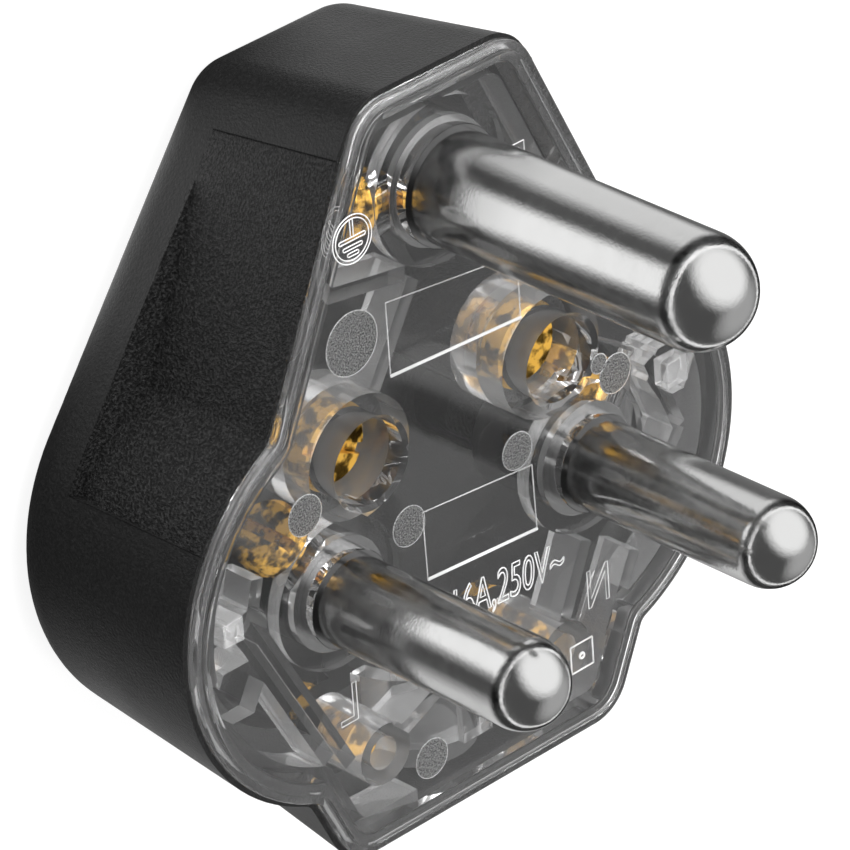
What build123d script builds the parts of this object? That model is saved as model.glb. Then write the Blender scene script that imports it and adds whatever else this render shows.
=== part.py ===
from build123d import *
from math import acos, atan2, cos, hypot, pi, radians, sin
import os

# Rubber plug top: a round-pin three-pin plug that lies on its flat back with the pins up.
# Origin: on the back face, under the middle of the line between the live and neutral pins.
# +X towards the neutral pin, +Y towards the earth pin, +Z along the pins. Millimetres.

# Pins and their places, the standard interface of this plug
pin_spacing = 25.4          # live to neutral
earth_offset = 28.58        # earth to the line between live and neutral
line_pin_d = 7.06
line_pin_length = 21.1      # from the pin face to the tip
earth_pin_d = 8.71
earth_pin_length = 28.6

# Body
body_depth = 20.2           # back face to pin face
flange_height = 1.2         # how far the clear base stands proud of the cover's rim
rim_width = 1.0             # rim of the cover that shows round the base
lobe_radius = 16.2          # rounded lobes of the base
lobe_x = 10.9               # centre of a lobe
crown_margin = 8.5          # earth pin to the top edge
crown_half_width = 7.45     # middle to the sharp corner of the top edge
outlet_reach = 5.6          # cord end below the lobes
outlet_half_width = 13.4    # middle to the sharp corner of the cord end
side_slope = 0.467          # the sides of crown and outlet run outwards this much for each millimetre
crown_lean = 3.0            # the crown's wall leans in this much towards the back
outlet_lean = 4.0           # and the outlet's wall this much
lobe_shift = 2.5            # the lobes move towards the crown this much towards the back
side_top = 34.5             # where the cover's straight side starts
corner_radius = 3.2
waist_radius = 2.5
root_radius = 1.5
back_radius = 4.0
face_edge_radius = 0.5

# Cover
wall_seat = 0.9             # width of the wall under the base's flange
ledge_seat = 3.4            # and of the thicker wall below it
ledge_depth = 7.0           # top of the thicker wall, under the pin face
floor_thickness = 2.5
grip_depth = 13.1           # length of the finger grips along the pins
grip_step = 0.15            # how far the grained grip lies under the smooth wall
grip_slope = 0.3            # rise of the grip's end wall for each millimetre inwards
cord_d = 9.0
cord_clearance = 0.25
pillar_radius = 4.5
pin_post_radius = 3.0
rib_thickness = 1.2

# Base
plate_thickness = 2.5
skirt_gap = 0.15
skirt_thickness = 1.0
skirt_depth = 3.0
contact_gap = 0.02          # left between pieces that touch
seat_wall = 1.5
seat_height = 1.2
pin_hole_gap = 0.05
web_depth = 3.2
boss_x = 9.75               # fixing screws, from the middle
boss_y = 10.0
boss_radius = 5.0
boss_depth = 8.0            # under the pin face
mouth_radius = 3.4
mouth_chamfer = 0.35
screw_seat_depth = 6.0
trough_wall = 1.5
trough_gap = 0.3            # the trough and the clamp are this much wider than the cord hole
trough_start = 3.6          # from the cord end of the base
trough_length = 6.0
grip_post_x = 9.4
grip_post_start = 6.5       # from the cord end of the base
grip_post_radius = 2.5
post_radius = 1.6
post_place = (-21.4, 1.1)   # frosted post outside the live pin
hex_across = 4.4
hex_places = ((-23.0, -3.6), (22.0, 3.6))
webs = (                    # thin walls under the plate, each from point to point in plan
    ((-7.8, 14.8), (-3.3, 22.0)),
    ((-13.6, 24.4), (-4.1, 22.8)),
    ((13.6, 24.4), (4.1, 22.8)),
    ((-20.4, 4.8), (-21.4, 1.1)),
    ((-22.5, 1.2), (-15.0, -13.1)),
    ((-20.5, 0.2), (-12.9, -14.4)),
    ((-9.6, -15.1), (-3.1, -12.3)),
    ((19.8, 5.3), (22.6, -1.6)),
    ((22.6, -1.6), (21.6, -3.0)),
    ((17.2, -10.0), (14.1, -16.1)),
    ((12.2, -6.9), (9.5, -12.8)),
)
plate_block = ((15.3, 8.7), (14.1, 4.8), (18.4, -0.5), (19.9, 5.7))

# Pin heads and terminals
line_head_d = 9.0
earth_head_d = 10.0
head_length = 8.0
head_chamfer = 0.5
collar_width = 0.3          # step between the shank and the collar that fills the plate's hole
terminal_depth = 3.0        # terminal screw axis under the plate
wire_bore_d = 3.4
terminal_screw_d = 4.0
terminal_head_d = 5.5
terminal_head_height = 2.0
terminal_shank = 4.2
terminal_standout = 1.0     # gap under the screw's head
thread_gap = 0.04
tunnel_gap = 0.15           # round the terminal screws' heads, in the base
line_terminal_angle = 125.0 # direction of the live terminal screw, in degrees
slot_width = 0.9
slot_depth = 0.8
cap_chamfer = 0.33          # round a screw head's outer edge

# Fixing screws and the threaded inserts that they turn in
fix_screw_d = 4.0
fix_head_d = 6.2
fix_head_height = 2.2
fix_screw_length = 9.5
fix_hole_gap = 0.2
insert_radius = 3.0
insert_length = 7.0
insert_flange = 0.5
fix_slot_turn = 25.0        # the way that the slots point, in degrees
clamp_slot_turn = 40.0

# Cord clamp
clamp_width = 4.0
clamp_thickness = 2.0
clamp_lift = 0.5            # clamp ears above the cord axis
clamp_room = 1.45           # floor of the cover to the clamp's ring
ear_radius = 1.8
clamp_screw_d = 2.6
clamp_screw_gap = 0.3
clamp_head_d = 4.6
clamp_head_height = 1.6
clamp_screw_length = 6.0

# Levels and places that follow from the sizes above
face_z = body_depth
rim_z = face_z - flange_height
plate_z = face_z - plate_thickness
head_end_z = plate_z - head_length
ledge_z = face_z - ledge_depth
terminal_z = plate_z - terminal_depth
boss_end_z = face_z - boss_depth
screw_seat_z = face_z - screw_seat_depth
line_x = pin_spacing / 2
crown_y = earth_offset + crown_margin
outlet_y = lobe_radius + outlet_reach
grip_post_y = outlet_y - grip_post_start
cord_radius = cord_d / 2 + cord_clearance
cord_z = floor_thickness + clamp_room + clamp_thickness + cord_radius
trough_radius = cord_radius + trough_gap
clamp_z = cord_z + clamp_lift
end_wall_y = -(outlet_y + rim_width)
over = 1.0                  # how far a cutting tool runs past what it cuts
match = 0.01                # how near a measured size has to be to count as the same


def both(solid):
    """A solid and its mirror image across the plane x = 0."""
    return solid + mirror(solid, about=Plane.YZ)


def rod(x, y, z_low, z_high, radius):
    """An upright round bar."""
    return Pos(x, y, z_low) * extrude(Circle(radius), z_high - z_low)


def slab(x_low, x_high, y_low, y_high, z_low, z_high):
    """A rectangular block between two corners."""
    return Pos(x_low, y_low, z_low) * Box(
        x_high - x_low, y_high - y_low, z_high - z_low, align=(Align.MIN, Align.MIN, Align.MIN)
    )


def wall_between(start, end, thickness, z_low, z_high):
    """A straight upright rib between two points in plan."""
    length = hypot(end[0] - start[0], end[1] - start[1])
    turn = atan2(end[1] - start[1], end[0] - start[0]) * 180 / pi
    middle = ((start[0] + end[0]) / 2, (start[1] + end[1]) / 2)
    plan = Pos(*middle) * Rot(0, 0, turn) * Rectangle(length, thickness)
    return Pos(0, 0, z_low) * extrude(plan, z_high - z_low)


def nearest(vertices, x, y):
    """The corner of an outline that lies nearest a point."""
    return min(vertices, key=lambda v: hypot(v.X - x, v.Y - y))


def half_width(end_y, corner_x, y, margin):
    """Half the width of the crown or outlet at a height, with its side moved outwards by the margin."""
    return corner_x + side_slope * (abs(end_y) - abs(y)) + margin * hypot(1, side_slope)


def where_leaves_lobe(end_y, corner_x, margin, radius):
    """Where the side of the crown or outlet leaves the lobe, on the right-hand half."""
    low = half_width(end_y, corner_x, 0, margin) - lobe_x
    a = 1 + side_slope ** 2
    b = low * side_slope
    root = (b + (b ** 2 - a * (low ** 2 - radius ** 2)) ** 0.5) / a
    return half_width(end_y, corner_x, root, margin), root if end_y > 0 else -root


def end_plan(end_y, corner_x, margin):
    """The crown or the outlet as a tapering plan with sharp corners, and one of its outer corners."""
    far_y = end_y + margin if end_y > 0 else end_y - margin
    wide = half_width(end_y, corner_x, 0, margin)
    tip = half_width(end_y, corner_x, far_y, margin)
    corners = [(-wide, 0), (wide, 0), (tip, far_y), (-tip, far_y)]
    return Polygon(*(corners if end_y > 0 else reversed(corners)), align=None), (tip, far_y)


def lobes(radius):
    """The two lobes in plan."""
    return Pos(lobe_x, 0) * Circle(radius) + Pos(-lobe_x, 0) * Circle(radius)


def outline(margin):
    """The base's outline moved outwards by a margin, with its corners rounded."""
    crown, crown_corner = end_plan(crown_y, crown_half_width, margin)
    outlet, outlet_corner = end_plan(-outlet_y, outlet_half_width, margin)
    radius = lobe_radius + margin
    plan = lobes(radius) + crown + outlet
    waist = where_leaves_lobe(crown_y, crown_half_width, margin, radius)
    root = where_leaves_lobe(-outlet_y, outlet_half_width, margin, radius)
    plan = round_corner(plan, waist, max(waist_radius - margin, root_radius))
    plan = round_corner(plan, root, root_radius)
    plan = round_corner(plan, crown_corner, max(corner_radius + margin, root_radius))
    return round_corner(plan, outlet_corner, max(corner_radius + margin, root_radius))


def round_corner(plan, place, radius):
    """Round the two mirrored corners of an outline that lie nearest a point."""
    corners = [nearest(plan.vertices(), side * place[0], place[1]) for side in (-1, 1)]
    return fillet(corners, radius)


def straight_side(start_y, lobe_y):
    """Start and end of the cover's straight right-hand side; it ends as a tangent to the lobe."""
    radius = lobe_radius + rim_width
    start = (half_width(crown_y, crown_half_width, side_top, rim_width), start_y)
    reach = hypot(start[0] - lobe_x, start[1] - lobe_y)
    angle = atan2(start[1] - lobe_y, start[0] - lobe_x) - acos(radius / reach)
    return start, (lobe_x + radius * cos(angle), lobe_y + radius * sin(angle))


def grip_cutter():
    """The space that the right-hand finger grip takes out of the cover's side."""
    start, touch = straight_side(side_top, 0)
    far = 2 * lobe_radius
    flank = ((touch[0] - lobe_x) * 2 + lobe_x, touch[1] * 2)
    band = Polygon((lobe_x, 0), flank, (far, flank[1]), (far, start[1]), (0, start[1]), align=None)
    low_z = rim_z - grip_depth
    space = Pos(0, 0, low_z) * extrude(band - outline(rim_width - grip_step), grip_depth + over)
    run = Vector(touch[0] - start[0], touch[1] - start[1], 0)
    inwards = Vector(run.Y, -run.X, 0).normalized()
    depth = 2 * lobe_radius
    ramp_plane = Plane(origin=(start[0], start[1], 0), x_dir=inwards, z_dir=run.normalized())
    flip = 1 if ramp_plane.y_dir.Z > 0 else -1
    ramp = Polygon(
        (-depth, 0),
        (-depth, flip * low_z),
        (0, flip * low_z),
        (depth, flip * (low_z + depth * grip_slope)),
        (depth, 0),
        align=None,
    )
    ramp = extrude(ramp_plane * ramp, 2 * run.length, both=True)
    return space - ramp


def cover_plan(top_y, end_y, lobe_y):
    """The cover's plan at one level, where its two ends and its lobes lie."""
    start, touch = straight_side(side_top + top_y - crown_y - rim_width, lobe_y)
    narrowing = (touch[0] - start[0]) / (start[1] - touch[1])
    top = (start[0] - narrowing * (top_y - start[1]), top_y)
    end = (half_width(outlet_y, outlet_half_width, end_wall_y, rim_width), end_y)
    wide = (end[0] + side_slope * (lobe_y - end_y), lobe_y)
    right = [end, wide, (lobe_x, lobe_y), touch, top]
    left = [(-x, y) for x, y in reversed(right)]
    radius = lobe_radius + rim_width
    plan = Pos(0, lobe_y) * lobes(radius) + Polygon(*right, *left, align=None)
    root_x, root_y = where_leaves_lobe(end_y - lobe_y, end[0], 0, radius)
    plan = round_corner(plan, (root_x, root_y + lobe_y), root_radius)
    plan = round_corner(plan, top, corner_radius + rim_width)
    return round_corner(plan, end, corner_radius + rim_width)


def cover_shell():
    """The cover's outer form, with its straight sides, leaning ends and rounded back."""
    front = cover_plan(crown_y + rim_width, end_wall_y, 0)
    back = cover_plan(crown_y + rim_width - crown_lean, end_wall_y + outlet_lean, lobe_shift)
    body = loft([back, Pos(0, 0, rim_z) * front], ruled=True)
    return fillet(body.faces().sort_by(Axis.Z)[0].edges(), back_radius)


def make_cover():
    """The moulded black cover, open towards the base, with its posts, pillars and cord hole."""
    body = cover_shell()
    cavity = Pos(0, 0, ledge_z) * extrude(outline(-wall_seat), rim_z - ledge_z + over)
    cavity += Pos(0, 0, floor_thickness) * extrude(outline(-ledge_seat), ledge_z - floor_thickness)
    inside = rod(0, earth_offset, floor_thickness, head_end_z, pin_post_radius)
    inside += both(rod(line_x, 0, floor_thickness, head_end_z, pin_post_radius))
    inside += both(rod(boss_x, boss_y, floor_thickness, boss_end_z, pillar_radius))
    rib_top = cord_z - cord_radius - over
    for end in ((line_x, 0), (0, earth_offset)):
        inside += both(wall_between((boss_x, boss_y), end, rib_thickness, floor_thickness, rib_top))
    body = body - cavity + inside
    notch_half = terminal_head_d / 2 + tunnel_gap
    notch_x = earth_head_d / 2 + terminal_standout + terminal_head_height + over
    notch_y = (earth_offset - notch_half, earth_offset + notch_half)
    body -= slab(-notch_x, -earth_head_d / 2, *notch_y, terminal_z - notch_half, rim_z)
    body -= both(grip_cutter())
    insert_low = boss_end_z - insert_length
    body -= both(rod(boss_x, boss_y, insert_low, boss_end_z + over, insert_radius))
    flange_low = boss_end_z - insert_flange
    body -= both(rod(boss_x, boss_y, flange_low, boss_end_z + over, insert_radius + insert_flange))
    screw_low = screw_seat_z - fix_screw_length - fix_hole_gap
    body -= both(rod(boss_x, boss_y, screw_low, boss_end_z, fix_screw_d / 2 + fix_hole_gap))
    hole_plane = Plane(origin=(0, end_wall_y - over, cord_z), x_dir=(1, 0, 0), z_dir=(0, 1, 0))
    hole = extrude(hole_plane * Circle(cord_radius), rim_width + ledge_seat + 2 * over)
    return body - hole


def make_base():
    """The clear base in one moulding: plate, skirt, pin seats, screw bosses, webs and cord trough."""
    plate = Pos(0, 0, rim_z + contact_gap) * extrude(outline(0), flange_height - contact_gap)
    plate = fillet(plate.faces().sort_by(Axis.Z)[-1].edges(), face_edge_radius)
    plug = outline(-(wall_seat + skirt_gap))
    room = outline(-(wall_seat + skirt_gap + skirt_thickness))
    skirt_end_z = plate_z - skirt_depth
    plate += Pos(0, 0, plate_z) * extrude(plug, rim_z + contact_gap - plate_z)
    skirt = Pos(0, 0, skirt_end_z) * extrude(plug - room, skirt_depth)
    mouth = trough_radius + trough_wall
    skirt -= slab(-mouth, mouth, -2 * outlet_y, -outlet_y / 2, 0, plate_z)
    inside = seat(0, earth_offset, earth_head_d) + both(seat(line_x, 0, line_head_d))
    inside += both(rod(boss_x, boss_y, boss_end_z + contact_gap, plate_z, boss_radius))
    web_z = plate_z - web_depth
    for start, end in webs:
        inside += wall_between(start, end, rib_thickness, web_z, plate_z)
    inside += rod(*post_place, web_z - over, plate_z, post_radius)
    inside += Pos(0, 0, web_z) * extrude(Polygon(*plate_block, align=None), web_depth / 2)
    hexagon = RegularPolygon(hex_across / 2, 6, major_radius=False)
    for x, y in hex_places:
        inside += Pos(x, y, web_z) * extrude(hexagon, web_depth)
    inside += both(rod(grip_post_x, -grip_post_y, clamp_z + contact_gap, plate_z, grip_post_radius))
    trough_end = -outlet_y + trough_start
    trough = Plane(origin=(0, trough_end, cord_z), x_dir=(1, 0, 0), z_dir=(0, 1, 0))
    arch = extrude(trough * Circle(mouth), trough_length)
    arch = arch & slab(-line_x, line_x, trough_end, trough_end + trough_length, clamp_z, plate_z)
    stem_y = (trough_end, trough_end + trough_length)
    arch += slab(-trough_wall, trough_wall, *stem_y, cord_z, plate_z)
    inside += arch
    body = plate + skirt + (inside & (Pos(0, 0, boss_end_z - face_z) * extrude(plug, 2 * face_z)))
    body -= screw_tunnel(0, earth_offset, earth_head_d, 180)
    body -= both(screw_tunnel(-line_x, 0, line_head_d, line_terminal_angle))
    channel = Plane(origin=(0, -2 * outlet_y, cord_z), x_dir=(1, 0, 0), z_dir=(0, 1, 0))
    body -= extrude(channel * Circle(trough_radius), 2 * outlet_y - outlet_y / 2)
    collar_room = collar_width + pin_hole_gap
    body -= rod(0, earth_offset, 0, face_z + over, earth_pin_d / 2 + collar_room)
    body -= both(rod(line_x, 0, 0, face_z + over, line_pin_d / 2 + collar_room))
    body -= rod(0, earth_offset, 0, plate_z, earth_head_d / 2 + pin_hole_gap)
    body -= both(rod(line_x, 0, 0, plate_z, line_head_d / 2 + pin_hole_gap))
    body -= both(rod(boss_x, boss_y, screw_seat_z, face_z + over, mouth_radius))
    body -= both(rod(boss_x, boss_y, 0, face_z, fix_screw_d / 2 + fix_hole_gap))
    clamp_hole_radius = clamp_screw_d / 2 + thread_gap
    body -= both(rod(grip_post_x, -grip_post_y, 0, clamp_z + clamp_screw_length, clamp_hole_radius))
    mouths = [e for e in body.edges().filter_by(GeomType.CIRCLE)
              if abs(e.radius - mouth_radius) < match and abs(e.center().Z - face_z) < match]
    return chamfer(mouths, mouth_chamfer)


def seat(x, y, head_d):
    """The ring under the plate that holds a pin's head upright."""
    return rod(x, y, plate_z - seat_height, plate_z, head_d / 2 + seat_wall)


def screw_tunnel(x, y, head_d, turn):
    """The room that the base leaves for a terminal screw, out from its pin."""
    length = head_d / 2 + terminal_standout + terminal_head_height + over
    plane = Plane(origin=(x, y, terminal_z), x_dir=(0, 0, 1), z_dir=direction(turn))
    return extrude(plane * Circle(terminal_head_d / 2 + tunnel_gap), length)


def make_pin(pin_d, pin_length, head_d, turn):
    """A turned pin with a domed tip and a cross-drilled terminal head, about its own axis."""
    radius = pin_d / 2
    collar = radius + collar_width
    head = head_d / 2
    head_top_z = plate_z - contact_gap
    shoulder_z = face_z + pin_length - radius
    profile = make_face([
        Line((0, head_end_z), (head - head_chamfer, head_end_z)),
        Line((head - head_chamfer, head_end_z), (head, head_end_z + head_chamfer)),
        Line((head, head_end_z + head_chamfer), (head, head_top_z)),
        Line((head, head_top_z), (collar, head_top_z)),
        Line((collar, head_top_z), (collar, face_z)),
        Line((collar, face_z), (radius, face_z)),
        Line((radius, face_z), (radius, shoulder_z)),
        ThreePointArc(
            (radius, shoulder_z),
            (radius * sin(pi / 4), shoulder_z + radius * cos(pi / 4)),
            (0, shoulder_z + radius),
        ),
        Line((0, shoulder_z + radius), (0, head_end_z)),
    ])
    body = revolve(Plane.XZ * profile, Axis.Z)
    screw_hole = Plane(origin=(0, 0, terminal_z), x_dir=(0, 0, 1), z_dir=direction(turn))
    wire_hole = Plane(origin=(0, 0, terminal_z), x_dir=(0, 0, 1), z_dir=direction(turn + 90))
    body -= extrude(screw_hole * Circle(terminal_screw_d / 2 + thread_gap), head + over)
    return body - extrude(wire_hole * Circle(wire_bore_d / 2), head + over, both=True)


def direction(turn):
    """A level direction, in degrees from +X."""
    return (cos(radians(turn)), sin(radians(turn)), 0)


def make_screw(shank_d, shank_length, head_d, head_height):
    """A slotted cheese-head screw along +Z, with the underside of its head at z = 0."""
    body = Pos(0, 0, -shank_length) * extrude(Circle(shank_d / 2), shank_length)
    cap = extrude(Circle(head_d / 2), head_height)
    cap = chamfer(cap.edges().sort_by(Axis.Z)[-1], cap_chamfer)
    slot_z = head_height - slot_depth
    cap -= slab(-head_d, head_d, -slot_width / 2, slot_width / 2, slot_z, head_height + over)
    return body + cap


def make_terminal_screw(x, y, head_d, turn):
    """A terminal screw in the side of a pin's head."""
    reach = head_d / 2 + terminal_standout
    screw = make_screw(terminal_screw_d, terminal_shank, terminal_head_d, terminal_head_height)
    step = direction(turn)
    seat_plane = Plane(
        origin=(x + step[0] * reach, y + step[1] * reach, terminal_z), x_dir=(0, 0, 1), z_dir=step
    )
    return seat_plane * screw


def make_insert():
    """A threaded brass insert, pressed into a pillar of the cover."""
    body = rod(0, 0, boss_end_z - insert_length, boss_end_z, insert_radius)
    body += rod(0, 0, boss_end_z - insert_flange, boss_end_z, insert_radius + insert_flange)
    return body - rod(0, 0, 0, face_z, fix_screw_d / 2 + thread_gap)


def make_clamp():
    """The cord clamp: two ears on the base's posts and a half ring round the cord."""
    low_y = -grip_post_y - clamp_width / 2
    half_ears = grip_post_x + grip_post_radius
    ring_radius = trough_radius + clamp_thickness
    ring_plane = Plane(origin=(0, low_y, cord_z), x_dir=(1, 0, 0), z_dir=(0, 1, 0))
    ring = extrude(ring_plane * Circle(ring_radius), clamp_width)
    ring = ring & slab(-ring_radius, ring_radius, low_y, low_y + clamp_width, 0, clamp_z)
    ears = slab(-half_ears, half_ears, low_y, low_y + clamp_width, clamp_z - clamp_thickness, clamp_z)
    ears = fillet(ears.edges().filter_by(Axis.Z), ear_radius)
    body = ring + ears - extrude(ring_plane * Circle(trough_radius), clamp_width)
    return body - both(rod(grip_post_x, -grip_post_y, 0, face_z, clamp_screw_d / 2 + clamp_screw_gap))


def make_parts():
    """Every piece by its node's name."""
    parts = {"cover": make_cover(), "base": make_base()}
    earth_pin = make_pin(earth_pin_d, earth_pin_length, earth_head_d, 180)
    parts["earth_pin"] = Pos(0, earth_offset, 0) * earth_pin
    parts["earth_terminal_screw"] = make_terminal_screw(0, earth_offset, earth_head_d, 180)
    for name, side in (("live", -1), ("neutral", 1)):
        turn = line_terminal_angle if side < 0 else 180 - line_terminal_angle
        pin = make_pin(line_pin_d, line_pin_length, line_head_d, turn)
        parts[name + "_pin"] = Pos(side * line_x, 0, 0) * pin
        parts[name + "_terminal_screw"] = make_terminal_screw(side * line_x, 0, line_head_d, turn)
    fixing = make_screw(fix_screw_d, fix_screw_length, fix_head_d, fix_head_height)
    clamping = make_screw(clamp_screw_d, clamp_screw_length, clamp_head_d, clamp_head_height)
    for name, side in (("left", -1), ("right", 1)):
        place = Pos(side * boss_x, boss_y, screw_seat_z + contact_gap)
        parts["fixing_screw_" + name] = place * Rot(0, 0, side * fix_slot_turn) * fixing
        parts["threaded_insert_" + name] = Pos(side * boss_x, boss_y, 0) * make_insert()
        place = Pos(side * grip_post_x, -grip_post_y, clamp_z - clamp_thickness)
        parts["clamp_screw_" + name] = place * Rot(180, 0, side * clamp_slot_turn) * clamping
    parts["cord_clamp"] = make_clamp()
    return parts


os.makedirs("parts", exist_ok=True)
for node, shape in make_parts().items():
    print(node, len(shape.solids()), round(shape.volume, 1))
    export_step(shape, "parts/" + node + ".step")
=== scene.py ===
import math
from functools import partial

import bmesh
import bpy
import numpy as np
from mathutils import Matrix, Vector


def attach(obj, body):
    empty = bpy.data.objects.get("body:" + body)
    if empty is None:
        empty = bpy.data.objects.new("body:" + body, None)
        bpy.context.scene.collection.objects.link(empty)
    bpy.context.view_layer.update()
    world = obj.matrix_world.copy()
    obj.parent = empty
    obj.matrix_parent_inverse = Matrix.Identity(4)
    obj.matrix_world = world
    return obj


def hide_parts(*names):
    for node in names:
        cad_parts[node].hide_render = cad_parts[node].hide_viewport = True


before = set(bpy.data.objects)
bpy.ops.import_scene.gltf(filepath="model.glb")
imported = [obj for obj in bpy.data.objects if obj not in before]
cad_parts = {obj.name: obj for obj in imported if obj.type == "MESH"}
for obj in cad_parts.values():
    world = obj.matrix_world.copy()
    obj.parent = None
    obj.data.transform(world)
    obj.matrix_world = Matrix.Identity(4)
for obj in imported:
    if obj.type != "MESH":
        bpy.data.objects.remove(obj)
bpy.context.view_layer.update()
mm = 0.001

# The levels that the pieces share, in millimetres above the table
levels = {
    "face": 20.2,
    "plateUnder": 17.7,
    "rim": 19.0,
}


# An empty Principled material with constant values on its sockets
def newMaterial(name, **sockets):
    material = bpy.data.materials.new(name)
    material.use_nodes = True
    shader = material.node_tree.nodes["Principled BSDF"]
    for socket, value in sockets.items():
        shader.inputs[socket.replace("_", " ")].default_value = value
    return material, material.node_tree.nodes, material.node_tree.links, shader


def objectCoordinates(nodes):
    return nodes.new("ShaderNodeTexCoord").outputs["Object"]


def splitAxes(nodes, links, source):
    split = nodes.new("ShaderNodeSeparateXYZ")
    links.new(source, split.inputs["Vector"])
    return [split.outputs[axis] for axis in "XYZ"]


# Noise on Object coordinates, which are metres here, so a scale of 1000 gives lumps of a millimetre
def addNoise(nodes, links, source, scale, detail=3.0, roughness=0.5):
    noise = nodes.new("ShaderNodeTexNoise")
    noise.inputs["Scale"].default_value = scale
    noise.inputs["Detail"].default_value = detail
    noise.inputs["Roughness"].default_value = roughness
    links.new(source, noise.inputs["Vector"])
    return noise.outputs["Fac"]


def mapRange(nodes, links, value, low, high, toLow, toHigh):
    node = nodes.new("ShaderNodeMapRange")
    for socket, number in zip(("From Min", "From Max", "To Min", "To Max"), (low, high, toLow, toHigh)):
        node.inputs[socket].default_value = number
    links.new(value, node.inputs["Value"])
    return node.outputs["Result"]


def calculate(nodes, links, operation, first, second):
    node = nodes.new("ShaderNodeMath")
    node.operation = operation
    for socket, value in zip(node.inputs, (first, second)):
        if isinstance(value, float):
            socket.default_value = value
        else:
            links.new(value, socket)
    return node.outputs["Value"]


def addBump(nodes, links, shader, height, distance, strength=1.0, normal=None):
    bump = nodes.new("ShaderNodeBump")
    bump.inputs["Distance"].default_value = distance
    bump.inputs["Strength"].default_value = strength
    links.new(height, bump.inputs["Height"])
    if normal is not None:
        links.new(normal, bump.inputs["Normal"])
    links.new(bump.outputs["Normal"], shader.inputs["Normal"])
    return bump.outputs["Normal"]


def blendColors(nodes, links, share, first, second):
    blend = nodes.new("ShaderNodeMix")
    blend.data_type = "RGBA"
    links.new(share, blend.inputs["Factor"])
    colors = [socket for socket in blend.inputs if socket.type == "RGBA"]
    colors[0].default_value = (*first, 1)
    colors[1].default_value = (*second, 1)
    return next(socket for socket in blend.outputs if socket.type == "RGBA")


plasticIor = 1.5

# Places and widths in millimetres, the grain's height in metres
coverLook = {
    "grain": 4600.0,          # lumps of the moulded grain per metre
    "height": 0.00030,        # of the grain in the finger grips
    "smooth": 0.35,           # share of it that the plain walls keep
    "roughness": 0.42,
    "patches": 160.0,         # slow change of the roughness, in lumps per metre
    "patchRange": (0.3, 0.7),
    "patchDepth": 0.03,
    "specular": 0.36,
    "speck": (0.008, 0.016),  # grey of the dark and the light grains
    "gripSpeck": (0.005, 0.036),
    "speckShare": (0.44, 0.68),
    "gripTop": (9.76, 34.5),  # the two ends of the cover's straight side in plan
    "gripTouch": (25.52, 9.06),
    "gripLow": (5.88, 5.9),   # the grip's lower edge fades in between these levels
    "gripStart": 0.3,         # along the straight side, at the rim
    "gripLean": 0.11,         # how much later it starts for each millimetre down
    "gripSoft": 0.05,
    "gripEnd": 0.1,
    "line": (0.06, 0.14),     # half the width of the painted shadow line under the grip's upper step, where it is full and where it ends
    "lineShare": 0.85,
}
clampLook = {
    "color": (0.012, 0.012, 0.012),
    "grain": 6000.0,
    "height": 0.00001,
    "roughness": 0.4,
}


# The moulded grain, and a roughness that changes slowly across the piece
def addGrain(nodes, links, shader, where, grain, roughness):
    patch = addNoise(nodes, links, where, coverLook["patches"], 2.0)
    depth = coverLook["patchDepth"]
    uneven = mapRange(nodes, links, patch, *coverLook["patchRange"], roughness - depth, roughness + depth)
    links.new(uneven, shader.inputs["Roughness"])
    return addNoise(nodes, links, where, grain, 3.0, 0.6)


def makeDarkPlastic():
    material, nodes, links, shader = newMaterial(
        "clampPlastic",
        Base_Color=(*clampLook["color"], 1), IOR=plasticIor, Specular_IOR_Level=coverLook["specular"]
    )
    where = objectCoordinates(nodes)
    fine = addGrain(nodes, links, shader, where, clampLook["grain"], clampLook["roughness"])
    addBump(nodes, links, shader, fine, clampLook["height"])
    return material
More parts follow.
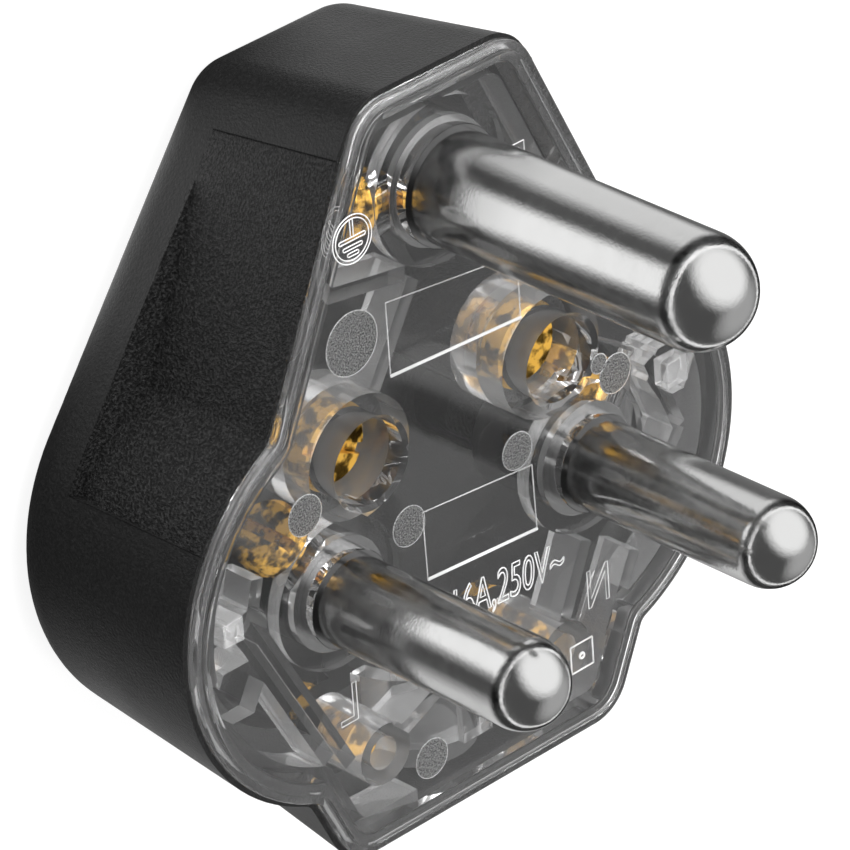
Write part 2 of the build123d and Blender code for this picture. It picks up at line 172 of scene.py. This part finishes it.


# Black rubber. The finger grips have a stronger grain, and a fine painted shadow line along the step at
# their upper end.
# along = (|x| - top x) * run x + (y - top y) * run y, measured down the cover's straight side
def makeRubber():
    material, nodes, links, shader = newMaterial(
        "coverRubber", IOR=plasticIor, Specular_IOR_Level=coverLook["specular"]
    )
    compute = partial(calculate, nodes, links)
    ease = partial(mapRange, nodes, links)
    where = objectCoordinates(nodes)
    fine = addGrain(nodes, links, shader, where, coverLook["grain"], coverLook["roughness"])
    xAxis, yAxis, zAxis = splitAxes(nodes, links, where)
    top = np.array(coverLook["gripTop"]) * mm
    run = np.array(coverLook["gripTouch"]) * mm - top
    length = float(np.hypot(*run))
    run = run / length
    x = compute("SUBTRACT", compute("ABSOLUTE", xAxis, 0.0), float(top[0]))
    y = compute("SUBTRACT", yAxis, float(top[1]))
    along = compute("ADD", compute("MULTIPLY", x, float(run[0])), compute("MULTIPLY", y, float(run[1])))
    down = compute("SUBTRACT", levels["rim"] * mm, zAxis)
    start = compute("ADD", compute("MULTIPLY", down, coverLook["gripLean"]), coverLook["gripStart"] * mm)
    past = compute("SUBTRACT", along, start)
    lowest, low = coverLook["gripLow"]
    high = ease(zAxis, lowest * mm, low * mm, 0.0, 1.0)
    ahead = ease(along, length, length + coverLook["gripEnd"] * mm, 1.0, 0.0)
    band = compute("MULTIPLY", high, ahead)
    soft = coverLook["gripSoft"] * mm
    grip = compute("MULTIPLY", band, ease(past, -soft, soft, 0.0, 1.0))
    # Painted shadow: a dark line along the grip's upper step, where the step would cast shade
    full, faded = coverLook["line"]
    dark = ease(compute("ABSOLUTE", past, 0.0), full * mm, faded * mm, coverLook["lineShare"], 0.0)
    line = compute("MULTIPLY", band, dark)
    plain = ease(fine, *coverLook["speckShare"], *coverLook["speck"])
    grained = ease(fine, *coverLook["speckShare"], *coverLook["gripSpeck"])
    extra = compute("MULTIPLY", compute("SUBTRACT", grained, plain), grip)
    grey = compute("ADD", plain, extra)
    shaded = compute("MULTIPLY", grey, compute("SUBTRACT", 1.0, line))
    links.new(shaded, shader.inputs["Base Color"])
    share = ease(grip, 0.0, 1.0, coverLook["smooth"], 1.0)
    addBump(nodes, links, shader, compute("MULTIPLY", fine, share), coverLook["height"])
    return material


clearLook = {
    "tint": (0.98, 0.98, 0.98),
    "milk": 0.99,             # share of light that passes; the rest scatters in the plastic's skin
    "roughness": 0.02,
    "wallMilk": 0.88,         # the same for the walls under the plate, which are less polished
    "wallRoughness": 0.10,
    "shadow": (0.92, 0.92, 0.92),
    "ripple": 240.0,          # slow waves of the moulded faces, per metre
    "rippleHeight": 0.00002,
}
frostLook = {
    "color": (0.42, 0.43, 0.43),
    "milk": 0.55,
    "roughness": 0.38,
    "grain": 7500.0,
    "height": 0.00020,
    "grainShare": (0.36, 0.68),
    "grey": (0.05, 0.55),     # of the dark and the bright grains
}


# Clear plastic. Light passes straight through it on its way to what lies behind.
def makeClear(name, roughness, milk):
    material, nodes, links, shader = newMaterial(
        name, Base_Color=(*clearLook["tint"], 1), Roughness=roughness,
        IOR=plasticIor, Transmission_Weight=milk
    )
    ripple = addNoise(nodes, links, objectCoordinates(nodes), clearLook["ripple"], 2.0)
    addBump(nodes, links, shader, ripple, clearLook["rippleHeight"])
    passing = nodes.new("ShaderNodeBsdfTransparent")
    passing.inputs["Color"].default_value = (*clearLook["shadow"], 1)
    rays = nodes.new("ShaderNodeLightPath")
    either = nodes.new("ShaderNodeMixShader")
    links.new(rays.outputs["Is Shadow Ray"], either.inputs["Fac"])
    links.new(shader.outputs["BSDF"], either.inputs[1])
    links.new(passing.outputs["BSDF"], either.inputs[2])
    links.new(either.outputs["Shader"], nodes["Material Output"].inputs["Surface"])
    return material


# Sandblasted spots on the clear plastic: grey, with bright grains
def makeFrosted():
    material, nodes, links, shader = newMaterial(
        "frostedSpot", Base_Color=(*frostLook["color"], 1), Roughness=frostLook["roughness"],
        IOR=plasticIor, Transmission_Weight=frostLook["milk"]
    )
    grain = addNoise(nodes, links, objectCoordinates(nodes), frostLook["grain"], 1.0)
    addBump(nodes, links, shader, grain, frostLook["height"])
    speckled = mapRange(nodes, links, grain, *frostLook["grainShare"], *frostLook["grey"])
    links.new(speckled, shader.inputs["Base Color"])
    return material


# Each metal's colour, polish and height of its lathe marks. Only the brass has moulded lumps, with painted
# shade in their hollows.
metalLook = {
    "nickelPlate": {"color": (0.78, 0.78, 0.775), "roughness": 0.15, "scratch": 0.0000022},
    "turnedBrass": {
        "color": (0.95, 0.54, 0.09), "roughness": 0.2, "scratch": 0.000004,
        "metallic": 0.8, "lumps": 0.00005,
    },
    "dullBrass": {"color": (0.50, 0.31, 0.08), "roughness": 0.3, "scratch": 0.000004},
}
metalNoise = {
    "clouds": 900.0,          # lumps per metre of each noise
    "rings": 9000.0,
    "grain": 3800.0,
    "squash": (0.05, 0.05, 1.0),
    "cloudRange": (0.35, 0.65),
    "shine": (0.8, 1.3),      # the roughness goes from and to these shares of its value
    "lumpMetal": (0.40, 0.56, 1.0, 0.5),
    "lumpColor": (0.42, 0.56, 0.0, 1.0),
    "grainHeight": 4,         # times the height of the lathe marks
    "hollowShade": 0.3,              # share of the colour that the hollows keep, a painted shade
}
# The pins' colour goes from a painted dark reflection near the face to the bright nickel between these
# heights, in metres
pinLook = {
    "heights": (0.020, 0.031),
    "rootShade": (0.34, 0.34, 0.34),
}


# Turned and plated metal, with faint rings from the lathe
def makeMetal(name, color, roughness, scratch, metallic=1.0, lumps=0.0):
    material, nodes, links, shader = newMaterial(
        name, Base_Color=(*color, 1), Metallic=metallic, Roughness=roughness
    )
    where = objectCoordinates(nodes)
    cloud = addNoise(nodes, links, where, metalNoise["clouds"], 3.0)
    smooth, rough = metalNoise["shine"]
    uneven = mapRange(nodes, links, cloud, *metalNoise["cloudRange"], roughness * smooth, roughness * rough)
    links.new(uneven, shader.inputs["Roughness"])
    stretch = nodes.new("ShaderNodeMapping")
    stretch.inputs["Scale"].default_value = metalNoise["squash"]
    links.new(where, stretch.inputs["Vector"])
    rings = addNoise(nodes, links, stretch.outputs["Vector"], metalNoise["rings"], 2.0)
    turned = addBump(nodes, links, shader, rings, scratch)
    grain = addNoise(nodes, links, where, metalNoise["grain"], 2.0)
    grained = addBump(nodes, links, shader, grain, scratch * metalNoise["grainHeight"], normal=turned)
    if lumps:
        addBump(nodes, links, shader, cloud, lumps, normal=grained)
        links.new(mapRange(nodes, links, cloud, *metalNoise["lumpMetal"]), shader.inputs["Metallic"])
        # Painted shade: the hollows of the lumps are coloured darker than their tops
        share = mapRange(nodes, links, cloud, *metalNoise["lumpColor"])
        hollowShade = tuple(metalNoise["hollowShade"] * part for part in color)
        links.new(blendColors(nodes, links, share, hollowShade, color), shader.inputs["Base Color"])
    return material


# Painted dark reflection: the pins are coloured darker near the face, where they mirror the dim plate and
# interior: colour by the height on the pin
def paintRootShade(material, heights, rootShade, bright):
    nodes, links = material.node_tree.nodes, material.node_tree.links
    height = splitAxes(nodes, links, objectCoordinates(nodes))[2]
    share = mapRange(nodes, links, height, *heights, 0.0, 1.0)
    color = blendColors(nodes, links, share, rootShade, bright)
    links.new(color, nodes["Principled BSDF"].inputs["Base Color"])


rubber = makeRubber()
clear = makeClear("clearPlastic", clearLook["roughness"], clearLook["milk"])
clearWall = makeClear("clearWalls", clearLook["wallRoughness"], clearLook["wallMilk"])
nickel, brass, dullBrass = [makeMetal(name, **look) for name, look in metalLook.items()]
paintRootShade(nickel, pinLook["heights"], pinLook["rootShade"], metalLook["nickelPlate"]["color"])
darkPlastic = makeDarkPlastic()
edgeLight = makeClear("raisedEdges", roughness=0.25, milk=0.45)
fineEdge = makeClear("fineEdges", roughness=0.15, milk=0.75)
frosted = makeFrosted()
print("materials ready")

smoothing = {
    "merge": 0.0000005,       # points nearer than this become one, in metres
    "sharp": 30,              # edges that turn by more than this many degrees stay sharp
    "flatWeight": 90,
}


# The node's own triangles with their points merged: curved faces shade smoothly and flat ones stay flat
def smoothCopy(node, name, material):
    work = bmesh.new()
    work.from_mesh(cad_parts[node].data)
    bmesh.ops.remove_doubles(work, verts=work.verts, dist=smoothing["merge"])
    work.verts.index_update()
    mesh = bpy.data.meshes.new(name)
    mesh.from_pydata([v.co[:] for v in work.verts], [], [[v.index for v in f.verts] for f in work.faces])
    work.free()
    mesh.materials.append(material)
    mesh.shade_smooth()
    mesh.set_sharp_from_angle(angle=math.radians(smoothing["sharp"]))
    piece = bpy.data.objects.new(name, mesh)
    bpy.context.scene.collection.objects.link(piece)
    weighted = piece.modifiers.new("flatStaysFlat", "WEIGHTED_NORMAL")
    weighted.keep_sharp = True
    weighted.weight = smoothing["flatWeight"]
    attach(piece, "root")
    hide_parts(node)
    return piece


# The upright faces under the plate are less polished than the plate itself
def markWalls(base):
    mesh = base.data
    mesh.materials.append(clearWall)
    count = len(mesh.polygons)
    normal = np.empty(3 * count)
    mesh.polygons.foreach_get("normal", normal)
    upright = np.abs(normal.reshape(-1, 3)[:, 2]) < 0.5
    corners = np.empty(3 * count, dtype=np.int32)
    mesh.polygons.foreach_get("vertices", corners)
    points = np.empty(3 * len(mesh.vertices))
    mesh.vertices.foreach_get("co", points)
    heights = points.reshape(-1, 3)[corners.reshape(-1, 3), 2] / mm
    low = heights.max(axis=1) < levels["plateUnder"] + 0.01
    mesh.polygons.foreach_set("material_index", (upright & low).astype(np.int32))


finishes = {
    "cover": rubber, "base": clear, "earth_pin": nickel, "live_pin": nickel, "neutral_pin": nickel,
    "earth_terminal_screw": brass, "live_terminal_screw": brass, "neutral_terminal_screw": brass,
    "fixing_screw_left": brass, "fixing_screw_right": brass, "threaded_insert_left": dullBrass,
    "threaded_insert_right": dullBrass, "cord_clamp": darkPlastic, "clamp_screw_left": brass,
    "clamp_screw_right": brass,
}
skins = {}
for node, finish in finishes.items():
    skins[node] = smoothCopy(node, node + "Skin", finish)
markWalls(skins["base"])
print("nodes dressed")

# Marks on the clear face. Places and heights are in millimetres, turns in degrees.
marks = {
    "edge": 0.045,            # radius of the fine ridges round each raised letter
    "lift": 0.03,             # their middle above the face
    "letterHeight": 3.2,
    "letters": (("L", (-12.9, -6.8), 1.7), ("N", (13.1, -8.6), 2.2), ("E", (7.2, 29.4), 2.2)),
    "rating": "16A,250V~",
    "ratingEnd": (8.5, -8.0),
    "ratingLength": 11.4,
    "ratingHeight": 3.3,
    "ratingEdge": 0.06,
    "thinner": -0.03,         # takes the rating's strokes in, so that each shows as one round ridge
    "turn": -4.2,
    "frames": (
        ((-7.3, 16.2), (5.8, 15.4), (5.8, 20.6), (-7.3, 22.2)),
        ((-5.1, -1.8), (6.1, -2.6), (6.0, 2.9), (-5.2, 3.9)),
    ),
    "frameEdge": 0.05,
    "frameFoot": 0.13,        # the lower side of each frame, thicker and in the milkier material: a painted highlight where it catches the light
    "earth": (-10.0, 28.5),
    "earthRings": (1.9, 1.62),
    "earthBars": ((0.05, 2.6), (-0.6, 1.9), (-1.15, 1.1)),
    "earthStem": 1.55,        # how far it rises above the sign's middle
    "barHalf": 0.14,
    "spots": (
        ((-10.8, 20.4), 2.5), ((-6.6, 3.4), 1.6), ((-6.0, -16.8), 1.6), ((4.6, 4.7), 1.5),
        ((-16.5, 8.8), 1.6), ((15.0, 6.7), 1.6), ((13.4, 8.2), 0.8),
    ),
    "spotThickness": 0.06,
}


# Quads of a grid of rows by columns that closes on itself both ways, or only round its columns
def gridFaces(rows, columns, closed):
    i, j = np.meshgrid(np.arange(rows if closed else rows - 1), np.arange(columns), indexing="ij")
    k = (i + 1) % rows
    m = (j + 1) % columns
    corners = np.stack((i * columns + j, k * columns + j, k * columns + m, i * columns + m), axis=-1)
    return corners.reshape(-1, 4)


# A round ridge along a level path: at each point the circle stands across the path.
# Point = path + radius * (cos(v) * side + sin(v) * up), where side is the path's level normal.
def ridge(path, radius, height, closed=True, around=8):
    path = np.asarray(path, dtype=float)
    if closed:
        ahead = np.roll(path, -1, axis=0) - np.roll(path, 1, axis=0)
    else:
        ahead = np.gradient(path, axis=0)
    ahead /= np.hypot(ahead[:, 0], ahead[:, 1])[:, None]
    side = np.stack((ahead[:, 1], -ahead[:, 0]), axis=1)
    v = np.linspace(0, 2 * np.pi, around, endpoint=False)
    x = path[:, None, 0] + radius * np.cos(v)[None, :] * side[:, None, 0]
    y = path[:, None, 1] + radius * np.cos(v)[None, :] * side[:, None, 1]
    z = np.broadcast_to(height + radius * np.sin(v), x.shape)
    vertices = np.stack((x, y, z), axis=-1).reshape(-1, 3) * mm
    faces = gridFaces(len(path), around, closed)
    if closed:
        return vertices, faces
    caps = [np.array((*path[k], height)) * mm for k in (0, -1)]
    j = np.arange(around)
    m = (j + 1) % around
    last = (len(path) - 1) * around
    count = len(vertices)
    first = np.stack((j, m, np.full(around, count)), axis=1)
    final = np.stack((last + m, last + j, np.full(around, count + 1)), axis=1)
    return np.vstack((vertices, caps)), [*faces.tolist(), *first.tolist(), *final.tolist()]


# Several ridges in one piece
def addRidges(name, ridges, material=edgeLight):
    vertices = []
    faces = []
    start = 0
    for points, quads in ridges:
        vertices.append(points)
        faces += [[start + int(k) for k in face] for face in quads]
        start += len(points)
    mesh = bpy.data.meshes.new(name)
    mesh.from_pydata(np.vstack(vertices).tolist(), [], faces)
    mesh.materials.append(material)
    work = bmesh.new()
    work.from_mesh(mesh)
    bmesh.ops.recalc_face_normals(work, faces=work.faces)
    work.to_mesh(mesh)
    work.free()
    mesh.shade_smooth()
    piece = bpy.data.objects.new(name, mesh)
    bpy.context.scene.collection.objects.link(piece)
    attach(piece, "root")
    return piece


def circle(centre, radius, count=64):
    t = np.linspace(0, 2 * np.pi, count, endpoint=False)
    return np.stack((centre[0] + radius * np.cos(t), centre[1] + radius * np.sin(t)), axis=1)


# Outline of a level bar with round ends
def stadium(centre, reach, half, count=12):
    t = np.linspace(-np.pi / 2, np.pi / 2, count)
    right = np.stack((centre[0] + reach - half + half * np.cos(t), centre[1] + half * np.sin(t)), axis=1)
    left = np.stack((centre[0] - reach + half - half * np.cos(t), centre[1] - half * np.sin(t)), axis=1)
    return np.vstack((right, left))


# The four sides of a shape given by its corners, as pairs of points
def sidesOf(corners):
    return [(corners[k], corners[(k + 1) % 4]) for k in range(4)]


# Fine ridges along the outlines of some words, fitted into a box and turned about its anchor.
# A mirrored word reads from behind, as the marks that were cut into the mould's inner side do.
def addWords(name, words, anchor, width, height, edge, turn=0.0, mirrored=False, offset=0.0):
    font = bpy.data.curves.new(name, "FONT")
    font.offset = offset
    font.body = words
    font.fill_mode = "NONE"
    font.resolution_u = 4
    holder = bpy.data.objects.new(name + "Outline", font)
    bpy.context.scene.collection.objects.link(holder)
    outline = bpy.data.meshes.new_from_object(holder)
    bpy.data.objects.remove(holder)
    points = np.empty(3 * len(outline.vertices))
    outline.vertices.foreach_get("co", points)
    flat = points.reshape(-1, 3)[:, :2]
    flat = (flat - flat.min(axis=0)) / np.ptp(flat, axis=0) * (width, height)
    if mirrored:
        flat[:, 0] = -flat[:, 0]
    angle = math.radians(turn)
    spin = np.array(((math.cos(angle), math.sin(angle)), (-math.sin(angle), math.cos(angle))))
    flat = flat @ spin + anchor
    links = {}
    for link in outline.edges:
        a, b = link.vertices
        links.setdefault(a, []).append(b)
        links.setdefault(b, []).append(a)
    left = set(links)
    ridges = []
    while left:
        loop = [left.pop()]
        while True:
            onward = [k for k in links[loop[-1]] if k in left]
            if not onward:
                break
            loop.append(onward[0])
            left.discard(onward[0])
        if len(loop) > 2:
            ridges.append(ridge(flat[loop], edge, levels["face"] + marks["lift"], around=6))
    addRidges(name, ridges)


# A thin round plate with a softened edge: radius and height follow a quarter circle at the rim
def addSpot(name, centre, radius, thickness):
    t = np.linspace(0, np.pi / 2, 4)
    r = np.concatenate((radius - thickness + thickness * np.cos(t), radius * np.linspace(0.8, 0.0, 5)))
    z = np.concatenate((thickness * np.sin(t), np.full(5, thickness)))
    r = np.concatenate(([radius], r))
    z = np.concatenate(([-thickness], z))
    around = 40
    v = np.linspace(0, 2 * np.pi, around, endpoint=False)
    rings = r[:-1]
    x = centre[0] + rings[:, None] * np.cos(v)[None, :]
    y = centre[1] + rings[:, None] * np.sin(v)[None, :]
    h = np.broadcast_to((levels["face"] + z[:-1])[:, None], x.shape)
    vertices = np.stack((x, y, h), axis=-1).reshape(-1, 3) * mm
    faces = gridFaces(len(rings), around, False).tolist()
    top = len(vertices)
    last = (len(rings) - 1) * around
    faces += [[last + j, last + (j + 1) % around, top] for j in range(around)]
    faces += [[(j + 1) % around, j, top + 1] for j in range(around)]
    poles = np.array(((*centre, levels["face"] + thickness), (*centre, levels["face"] - thickness))) * mm
    addRidges(name, [(np.vstack((vertices, poles)), faces)], frosted)


def addMarks():
    for words, place, width in marks["letters"]:
        anchor = (place[0], place[1] - marks["letterHeight"])
        addWords("mark" + words, words, anchor, width, marks["letterHeight"], marks["edge"], mirrored=True)
    length = marks["ratingLength"]
    angle = math.radians(marks["turn"])
    end = marks["ratingEnd"]
    anchor = (end[0] - length * math.cos(angle), end[1] - length * math.sin(angle))
    addWords(
        "rating", marks["rating"], anchor, length, marks["ratingHeight"], marks["ratingEdge"],
        turn=marks["turn"], offset=marks["thinner"]
    )
    height = levels["face"] + marks["lift"]
    for index, corners in enumerate(marks["frames"]):
        foot, *others = sidesOf(corners)
        # Painted highlight: the foot is in the milkier edgeLight material and the other sides in the
        # clearer fineEdge, so the lower side shows brighter, as a lit side would
        addRidges(f"frameFoot{index + 1}", [ridge(foot, marks["frameFoot"], height, False)])
        ridges = [ridge(side, marks["frameEdge"], height, False) for side in others]
        addRidges(f"bareFrame{index + 1}", ridges, fineEdge)
    x, y = marks["earth"]
    half = marks["barHalf"]
    rings = [circle((x, y), radius) for radius in marks["earthRings"]]
    bars = [stadium((x, y + drop), bar / 2, half) for drop, bar in marks["earthBars"]]
    stem = [((x + shift, y + half), (x + shift, y + marks["earthStem"])) for shift in (-half, half)]
    ridges = [ridge(path, marks["edge"], height) for path in rings + bars]
    ridges += [ridge(path, marks["edge"], height, False) for path in stem]
    addRidges("earthSign", ridges)
    for index, (place, radius) in enumerate(marks["spots"]):
        addSpot(f"frostedSpot{index + 1}", place, radius, marks["spotThickness"])
        addRidges(f"spotRim{index + 1}", [ridge(circle(place, radius), marks["edge"], height)], fineEdge)


addMarks()
print("marks added")

# Small moulded blocks under the plate and a square hole in it: middle, half size, lower and upper level
blocks = {
    "under": (((22.7, 3.0), 1.15, 14.9, 17.72), ((-23.0, 1.5), 1.0, 15.2, 17.72)),
    "hole": (9.9, -15.4),
    "holeHalf": 1.15,
    "holeEdge": 0.07,
    "dot": 0.22,              # the small ring in the hole's middle, and its ridge
    "dotEdge": 0.1,
    "softEdge": 0.15,
}


def addBlock(name, middle, half, low, high):
    work = bmesh.new()
    bmesh.ops.create_cube(work, size=1.0)
    for vertex in work.verts:
        x, y, z = vertex.co
        level = low + (high - low) * (z + 0.5)
        vertex.co = ((middle[0] + 2 * half * x) * mm, (middle[1] + 2 * half * y) * mm, level * mm)
    mesh = bpy.data.meshes.new(name)
    work.to_mesh(mesh)
    work.free()
    mesh.materials.append(clearWall)
    piece = bpy.data.objects.new(name, mesh)
    bpy.context.scene.collection.objects.link(piece)
    bevel = piece.modifiers.new("softEdges", "BEVEL")
    bevel.width = blocks["softEdge"] * mm
    bevel.segments = 2
    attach(piece, "root")


def addBlocks():
    for index, block in enumerate(blocks["under"]):
        addBlock(f"smallBlock{index + 1}", *block)
    x, y = blocks["hole"]
    half = blocks["holeHalf"]
    corners = [(x - half, y - half), (x + half, y - half), (x + half, y + half), (x - half, y + half)]
    height = levels["face"] + marks["lift"]
    ridges = [ridge(side, blocks["holeEdge"], height, False) for side in sidesOf(corners)]
    ridges.append(ridge(circle((x, y), blocks["dot"], 24), blocks["dotEdge"], height))
    addRidges("squareHole", ridges)


addBlocks()
print("blocks added")

# The clear lip that covers part of the black rim: (how far out, height) of its section, in millimetres
lip = {
    "section": (
        (-0.30, 19.03), (0.58, 19.03), (0.62, 19.08), (0.62, 19.50), (0.58, 19.66),
        (0.48, 19.79), (0.34, 19.88), (0.16, 19.92), (-0.05, 19.92), (-0.30, 19.80),
    ),
    "level": 19.7,            # where the plate's outline is taken
    "step": 0.25,
    "sharp": 50,
}


# The plate's outline comes from the base's own points at one height, put in order round the middle
# and spaced evenly. The section is carried along it: point = outline + out * normal.
def addLip():
    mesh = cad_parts["base"].data
    points = np.empty(3 * len(mesh.vertices))
    mesh.vertices.foreach_get("co", points)
    points = points.reshape(-1, 3) / mm
    edge = points[np.abs(points[:, 2] - lip["level"]) < 0.01][:, :2]
    edge = np.unique(np.round(edge, 4), axis=0)
    edge = edge[np.argsort(np.arctan2(edge[:, 1], edge[:, 0]))]
    loop = np.vstack((edge, edge[:1]))
    along = np.concatenate(([0], np.cumsum(np.hypot(*np.diff(loop, axis=0).T))))
    even = np.linspace(0, along[-1], int(along[-1] / lip["step"]), endpoint=False)
    path = np.stack((np.interp(even, along, loop[:, 0]), np.interp(even, along, loop[:, 1])), axis=1)
    ahead = np.roll(path, -2, axis=0) - np.roll(path, 2, axis=0)
    ahead /= np.hypot(ahead[:, 0], ahead[:, 1])[:, None]
    out = np.stack((ahead[:, 1], -ahead[:, 0]), axis=1)
    section = np.array(lip["section"])
    x = path[:, None, 0] + section[None, :, 0] * out[:, None, 0]
    y = path[:, None, 1] + section[None, :, 0] * out[:, None, 1]
    z = np.broadcast_to(section[:, 1], x.shape)
    vertices = np.stack((x, y, z), axis=-1).reshape(-1, 3) * mm
    piece = addRidges("plateLip", [(vertices, gridFaces(len(path), len(section), True).tolist())], clear)
    piece.data.set_sharp_from_angle(angle=math.radians(lip["sharp"]))


addLip()
print("lip added")

studio = {
    "floorColor": (0.25, 0.25, 0.25),
    "floorGlow": 0.88,        # the paper glows a little, so that the shadows stay faint
    "floorHalf": 3.0,
    "sky": 0.30,              # what matt pieces see
    "dark": 0.08,             # what shiny pieces see, past the two bright parts of the sky
    "brightWay": (0.324, 0.604, 0.728),
    "brightEdge": (0.34, 0.82),
    "secondWay": (0.585, -0.495, 0.643),
    "secondEdge": (0.55, 0.97),
    "second": 0.42,
    "throughSky": 0.10,       # what shows through the clear base
    "backdrop": 0.95,         # what the camera sees past the floor
    "card": 0.30,             # half the side of the card that only reflections show
    "cardHeight": 0.0002,
    "cardMiddle": 0.015,      # its middle lies this far towards the earth pin
    "bright": 1.15,
    "dim": 0.06,
    "fade": (0.074, 0.100),   # how far out the card's bright parts end
}

# The card's brightness round the plug: degrees from +X about its middle, and the brightness there
cardStops = (
    (-180, 0.15), (-172, 0.06), (-154, 0.08), (-128, 0.55), (-85, 0.55), (-45, 0.20), (16, 0.10),
    (34, 0.65), (74, 0.65), (96, 0.08), (112, 0.08), (126, 0.9), (162, 0.9), (176, 0.25),
)


def addPlane(name, size, height, material):
    mesh = bpy.data.meshes.new(name)
    corners = [(-size, -size, height), (size, -size, height), (size, size, height), (-size, size, height)]
    mesh.from_pydata(corners, [], [(0, 1, 2, 3)])
    mesh.materials.append(material)
    plane = bpy.data.objects.new(name, mesh)
    bpy.context.scene.collection.objects.link(plane)
    return plane


# Black and white cards laid round the plug, as is done for shiny metal. Only reflections show them.
def addCard():
    material = bpy.data.materials.new("reflectionCard")
    material.use_nodes = True
    nodes, links = material.node_tree.nodes, material.node_tree.links
    nodes.clear()
    where = objectCoordinates(nodes)
    x, y, _ = splitAxes(nodes, links, where)
    shift = calculate(nodes, links, "SUBTRACT", y, studio["cardMiddle"])
    turn = calculate(nodes, links, "ARCTAN2", shift, x)
    ramp = nodes.new("ShaderNodeValToRGB")
    links.new(mapRange(nodes, links, turn, -math.pi, math.pi, 0.0, 1.0), ramp.inputs["Fac"])
    elements = ramp.color_ramp.elements
    while len(elements) < len(cardStops):
        elements.new(0.5)
    for element, (angle, bright) in zip(elements, cardStops):
        element.position = (angle + 180) / 360
        element.color = (bright, bright, bright, 1)
    far = nodes.new("ShaderNodeVectorMath")
    far.operation = "DISTANCE"
    far.inputs[1].default_value = (0.0, studio["cardMiddle"], 0.0)
    links.new(where, far.inputs[0])
    distance = far.outputs["Value"]
    strength = mapRange(nodes, links, distance, *studio["fade"], studio["bright"], studio["dim"])
    glow = nodes.new("ShaderNodeEmission")
    links.new(ramp.outputs["Color"], glow.inputs["Color"])
    links.new(strength, glow.inputs["Strength"])
    output = nodes.new("ShaderNodeOutputMaterial")
    links.new(glow.outputs["Emission"], output.inputs["Surface"])
    card = addPlane("reflectionCard", studio["card"], studio["cardHeight"], material)
    card.visible_camera = False
    card.visible_diffuse = False
    card.visible_transmission = False
    card.visible_shadow = False


# A softbox that points at the plug. Shiny pieces mirror the sky and the card, never a softbox.
def addLight(name, place, size, power):
    light = bpy.data.lights.new(name, "AREA")
    light.shape = "RECTANGLE"
    light.size, light.size_y = size
    light.energy = power
    lamp = bpy.data.objects.new(name, light)
    bpy.context.scene.collection.objects.link(lamp)
    lamp.location = place
    lamp.rotation_euler = (Vector(view["target"]) - Vector(place)).to_track_quat("-Z", "Y").to_euler()
    lamp.visible_glossy = False


# Soft bright part of the sky round one direction: brightness by the cosine of the angle to it
def brightPart(nodes, links, way, middle, edge, low, high):
    near = nodes.new("ShaderNodeVectorMath")
    near.operation = "DOT_PRODUCT"
    near.inputs[1].default_value = middle
    links.new(way, near.inputs[0])
    patch = mapRange(nodes, links, near.outputs["Value"], *edge, low, high)
    patch.node.interpolation_type = "SMOOTHSTEP"
    return patch


# The sky is pale where the camera sees it and dim through the clear plastic. Shiny pieces see two soft
# bright parts in a dark rest.
def addWorld():
    world = bpy.data.worlds.new("studio")
    bpy.context.scene.world = world
    world.use_nodes = True
    nodes, links = world.node_tree.nodes, world.node_tree.links
    background = nodes["Background"]
    rays = nodes.new("ShaderNodeLightPath")
    way = nodes.new("ShaderNodeTexCoord").outputs["Generated"]
    compute = partial(calculate, nodes, links)
    first = brightPart(nodes, links, way, studio["brightWay"], studio["brightEdge"], studio["dark"], 1.0)
    second = brightPart(nodes, links, way, studio["secondWay"], studio["secondEdge"], 0.0, studio["second"])
    seen = {
        "Is Diffuse Ray": studio["sky"],
        "Is Transmission Ray": studio["throughSky"],
        "Is Camera Ray": studio["backdrop"],
        "Is Glossy Ray": compute("MAXIMUM", first, second),
    }
    total, *others = [compute("MULTIPLY", rays.outputs[kind], value) for kind, value in seen.items()]
    for part in others:
        total = compute("MAXIMUM", total, part)
    links.new(total, background.inputs["Strength"])
    background.inputs["Color"].default_value = (1, 1, 1, 1)


# The camera of the photograph: its three axes, its place and its focal length
view = {
    "right": (0.714, -0.0618, 0.6974),
    "up": (0.3847, 0.8668, -0.3171),
    "back": (-0.5849, 0.4947, 0.6427),
    "place": (-0.32130, 0.27895, 0.34832 + levels["face"] * mm),
    "lens": 317.9,
    "target": (0, 0.008, 0.015),
}


def addCamera():
    data = bpy.data.cameras.new("photographer")
    data.sensor_width = 36
    data.lens = view["lens"]
    data.clip_start = 0.01
    camera = bpy.data.objects.new("photographer", data)
    bpy.context.scene.collection.objects.link(camera)
    axes = Matrix((view["right"], view["up"], view["back"])).transposed()
    camera.matrix_world = Matrix.Translation(view["place"]) @ axes.to_4x4()
    bpy.context.scene.camera = camera


# A place given in the camera's own directions, in metres from the middle of the plug
def inView(right, up, back):
    steps = Vector(view["right"]) * right + Vector(view["up"]) * up + Vector(view["back"]) * back
    return Vector(view["target"]) + steps


floorPaper = newMaterial(
    "floorPaper", Base_Color=(*studio["floorColor"], 1), Roughness=0.9, Specular_IOR_Level=0.0,
    Emission_Color=(1, 1, 1, 1), Emission_Strength=studio["floorGlow"]
)[0]
floor = addPlane("studioFloor", studio["floorHalf"], 0.0, floorPaper)
floor.visible_transmission = False
addCard()
addWorld()
addCamera()
softboxes = {
    "softboxAbove": {"place": (0.05, 0.1, 0.75), "size": (0.9, 0.9), "power": 7.5},
    "softboxCrown": {"place": (0.15, 0.6, 0.25), "size": (0.6, 0.25), "power": 4},
    "softboxLeft": {"place": inView(-0.5, 0.05, 0.35), "size": (0.2, 0.5), "power": 1.5},
}
for name, box in softboxes.items():
    addLight(name, **box)
bpy.context.scene.view_settings.view_transform = "Standard"
print("studio ready")
